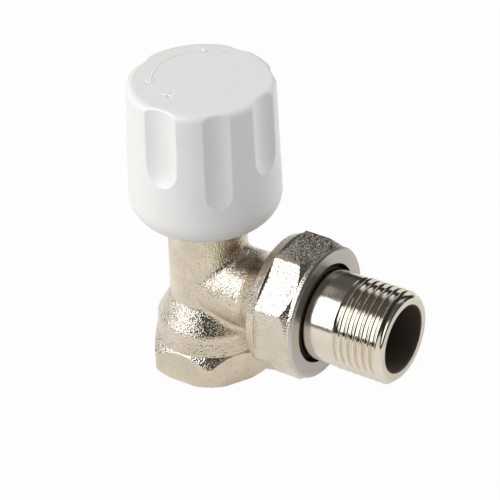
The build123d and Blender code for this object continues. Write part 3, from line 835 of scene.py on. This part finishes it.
def makeSigns():
    s = signSizes
    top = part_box("handwheel")[1].z
    height = top + s["proud"] - s["lineRadius"]

    def polar(radius, degrees):
        return Vector((radius * cos(radians(degrees)), radius * sin(radians(degrees))))

    def bar(middle, halfLength, degrees):
        return [middle - polar(halfLength, degrees), middle + polar(halfLength, degrees)]

    sweep = s["arcTo"] - s["arcFrom"]
    angles = [s["arcFrom"] + sweep * step / s["arcSteps"] for step in range(s["arcSteps"] + 1)]
    lines = [[s["arcCentre"] + polar(s["arcRadius"], angle) for angle in angles]]
    for tipAngle, heading in ((s["arcFrom"], s["arcFrom"] - 90), (s["arcTo"], s["arcTo"] + 90)):
        tip = s["arcCentre"] + polar(s["arcRadius"], tipAngle)
        for barbTurn in (-s["barbAngle"], s["barbAngle"]):
            lines.append([tip, tip + polar(s["barb"], heading + 180 + barbTurn)])
    plus = polar(*s["plusAt"])
    lines.append(bar(plus, s["plusArm"], s["plusTurn"]))
    lines.append(bar(plus, s["plusArm"], s["plusTurn"] + 90))
    lines.append(bar(polar(*s["minusAt"]), s["minusArm"], s["minusTurn"]))

    curve = bpy.data.curves.new("signLines", "CURVE")
    curve.dimensions = "3D"
    for line in lines:
        spline = curve.splines.new("POLY")
        spline.points.add(len(line) - 1)
        for point, place in zip(spline.points, line):
            point.co = (place.x, place.y, height, 1.0)
    mesh = grow("signHolder", curve, lineNodes, {
        "Line Radius": s["lineRadius"], "Sides": s["lineSides"], "Finish": finishes["white_moulding"]})
    mesh.name = "handwheel_signs"
    piece = addObject("handwheel_signs", mesh)
    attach(piece, "handwheel")
    print("signs:", len(lines), "lines")


makeSigns()


# Studio: floor, two soft lamps, a dark room with bright cards that only the gloss sees, camera
studio = {
    "floorSize": 3.0,
    "floorSegments": 96,
    "floorGlow": 0.97,
    "floorGloss": 0.15,
    "paper": 0.64,
    "paperInMetal": 0.96,
    "tableEdge": (0.28, 0.45),  # the metal sees the white table only as far as this
    "beyondTable": 0.04,        # the share of its brightness that is left past the edge
    "domeRadius": 3.2,
    "domeColour": colour(1.0, 0.97, 0.93),
    "domeHeights": (0.2, 3.0),  # between these heights the room brightens
    "domeRadiances": (0.025, 0.12),
    "ambient": 0.28,
    "lampColour": (1.0, 0.99, 0.97),
    "lamps": {                  # azimuth, elevation, distance, width, height, radiance
        "softbox": (-126, 40, 0.80, 1.12, 0.80, 2.5),
        "fillBox": (60, 15, 0.80, 0.80, 0.80, 2.4),
    },
    "cards": {                  # the same, and the share of a card over which it fades
        "keyCard": (-126, 35, 0.82, 0.66, 0.98, 3.1, 0.3),
        "leftCard": (165, 12, 0.82, 1.00, 0.54, 1.1, 0.2),
        "fillCard": (60, 34, 0.82, 0.34, 0.34, 0.7, 0.4),
        "backCard": (104, 36, 0.82, 0.26, 0.34, 1.4, 0.4),
    },
    "cardColour": colour(0.93, 0.98, 1.05),
    "aim": Vector((0.012, 0.0, 0.035)),
}
white = colour(1, 1, 1)


def direction(azimuth, elevation):
    a, e = radians(azimuth), radians(elevation)
    return Vector((cos(a) * cos(e), sin(a) * cos(e), sin(e)))


def bareMaterial(name):
    material = bpy.data.materials.new(name)
    material.use_nodes = True
    tree = material.node_tree
    tree.nodes.clear()
    place = tree.nodes.new("ShaderNodeTexCoord").outputs["Object"]
    return material, tree, place


def setSurface(tree, shader):
    out = addNode(tree, "ShaderNodeOutputMaterial")
    tree.links.new(shader, out.inputs["Surface"])


def makeFloor():
    mesh = bpy.data.meshes.new("studioFloor")
    work = bmesh.new()
    bmesh.ops.create_circle(work, cap_ends=True, segments=studio["floorSegments"],
                            radius=studio["floorSize"])
    work.to_mesh(mesh)
    work.free()
    floor = addObject("studioFloor", mesh)
    material, tree, place = bareMaterial("studioPaper")
    path = tree.nodes.new("ShaderNodeLightPath").outputs
    away = addNode(tree, "ShaderNodeVectorMath", {0: place}, operation="LENGTH").outputs["Value"]
    table = spread(tree, away, 1.0, studio["beyondTable"], *studio["tableEdge"])
    inMetal = calc(tree, "MULTIPLY", table, studio["paperInMetal"])
    tone = spread(tree, path["Is Glossy Ray"], studio["paper"], inMetal, 0.0, 1.0)
    paper = firstOf(tree, "ShaderNodeBsdfDiffuse", {"Color": tone})
    glow = firstOf(tree, "ShaderNodeEmission", {"Color": white, "Strength": 1.0})
    # the camera sees it white, and the gloss sees it lit only out to the table's edge
    direct = calc(tree, "MAXIMUM", path["Is Camera Ray"], path["Is Transmission Ray"])
    glossy = calc(tree, "MULTIPLY", path["Is Glossy Ray"],
                  calc(tree, "MULTIPLY", table, studio["floorGloss"]))
    share = calc(tree, "MAXIMUM", calc(tree, "MULTIPLY", direct, studio["floorGlow"]), glossy)
    setSurface(tree, firstOf(tree, "ShaderNodeMixShader", {0: share, 1: paper, 2: glow}))
    mesh.materials.append(material)


def onlyForGloss(card):
    card.visible_camera = False
    card.visible_diffuse = False
    card.visible_transmission = False
    card.visible_volume_scatter = False
    card.visible_shadow = False


def makeDome():
    # a dark studio room round the table, seen only by the gloss
    mesh = bpy.data.meshes.new("studioRoom")
    work = bmesh.new()
    bmesh.ops.create_uvsphere(work, u_segments=64, v_segments=32, radius=studio["domeRadius"])
    work.to_mesh(mesh)
    work.free()
    dome = addObject("studioRoom", mesh)
    material, tree, place = bareMaterial("studioDark")
    up = addNode(tree, "ShaderNodeSeparateXYZ", {0: place}).outputs[2]
    radiance = spread(tree, up, *studio["domeRadiances"], *studio["domeHeights"])
    setSurface(tree, firstOf(tree, "ShaderNodeEmission", {
        "Color": studio["domeColour"], "Strength": radiance}))
    mesh.materials.append(material)
    onlyForGloss(dome)


def hang(thing, azimuth, elevation, distance):
    # turns a lamp or a card to face the valve
    towards = direction(azimuth, elevation)
    thing.location = studio["aim"] + towards * distance
    thing.rotation_mode = "QUATERNION"
    thing.rotation_quaternion = towards.to_track_quat("Z", "Y")


def makeLamp(name, azimuth, elevation, distance, width, height, radiance):
    lamp = bpy.data.lights.new(name, "AREA")
    lamp.shape = "RECTANGLE"
    lamp.size = width
    lamp.size_y = height
    lamp.energy = radiance * pi * width * height
    lamp.color = studio["lampColour"]
    box = addObject(name, lamp)
    box.visible_glossy = False
    hang(box, azimuth, elevation, distance)


def makeCard(name, azimuth, elevation, distance, width, height, radiance, soft):
    # what the gloss sees of a soft lamp: bright below, fading out at its top and its sides
    mesh = bpy.data.meshes.new(name)
    across, upward = width / 2, height / 2
    corners = [(-across, -upward, 0), (across, -upward, 0), (across, upward, 0), (-across, upward, 0)]
    mesh.from_pydata(corners, [], [(0, 1, 2, 3)])
    card = addObject(name, mesh)
    hang(card, azimuth, elevation, distance)
    material, tree, place = bareMaterial(name)
    apart = addNode(tree, "ShaderNodeSeparateXYZ", {0: place}).outputs

    def fade(value, half):
        return spread(tree, value, 1.0, 0.0, half * (1 - soft), half, interpolation_type="SMOOTHSTEP")

    sides = fade(calc(tree, "ABSOLUTE", apart[0]), across)
    share = calc(tree, "MULTIPLY", sides, fade(apart[1], upward))
    setSurface(tree, firstOf(tree, "ShaderNodeEmission", {
        "Color": studio["cardColour"], "Strength": calc(tree, "MULTIPLY", share, radiance)}))
    mesh.materials.append(material)
    onlyForGloss(card)


def makeWorld():
    # white to the eye and dimmer as a light
    world = bpy.data.worlds.new("studioAir")
    bpy.context.scene.world = world
    world.use_nodes = True
    tree = world.node_tree
    path = tree.nodes.new("ShaderNodeLightPath").outputs
    seen = calc(tree, "MAXIMUM", path["Is Camera Ray"], path["Is Glossy Ray"])
    seen = calc(tree, "MAXIMUM", seen, path["Is Transmission Ray"])
    background = tree.nodes["Background"].inputs
    tree.links.new(spread(tree, seen, studio["ambient"], 1.0, 0.0, 1.0), background["Strength"])
    background["Color"].default_value = white


cameraSizes = {
    "azimuth": 34.08,
    "elevation": 33.22,
    "roll": -2.14,
    "distance": 0.6652,
    "target": Vector((0.010, 0.0, 0.040)),
    "focalPixels": 3038.9,
    "imagePixels": 500,
    "principal": (244.5, 218.9),
    "sensor": 36.0,
    "clip": (0.01, 20.0),
}


def makeCamera():
    s = cameraSizes
    lens = bpy.data.cameras.new("photoCamera")
    lens.sensor_width = s["sensor"]
    lens.lens = s["focalPixels"] / s["imagePixels"] * lens.sensor_width
    half = s["imagePixels"] / 2
    lens.shift_x = (half - s["principal"][0]) / s["imagePixels"]
    lens.shift_y = (s["principal"][1] - half) / s["imagePixels"]
    lens.clip_start, lens.clip_end = s["clip"]
    camera = addObject("photoCamera", lens)
    back = direction(s["azimuth"] - 90, s["elevation"])
    right = direction(s["azimuth"], 0)
    up = back.cross(right)
    roll = radians(s["roll"])
    across = right * cos(roll) + up * sin(roll)
    upward = up * cos(roll) - right * sin(roll)
    turn = Matrix((across, upward, back)).transposed().to_4x4()
    camera.matrix_world = Matrix.Translation(s["target"] + back * s["distance"]) @ turn
    bpy.context.scene.camera = camera


makeFloor()
makeDome()
for lampName, lampSizes in studio["lamps"].items():
    makeLamp(lampName, *lampSizes)
for cardName, cardSizes in studio["cards"].items():
    makeCard(cardName, *cardSizes)
makeWorld()
makeCamera()
bpy.context.scene.view_settings.view_transform = "Standard"
print("studio ready")
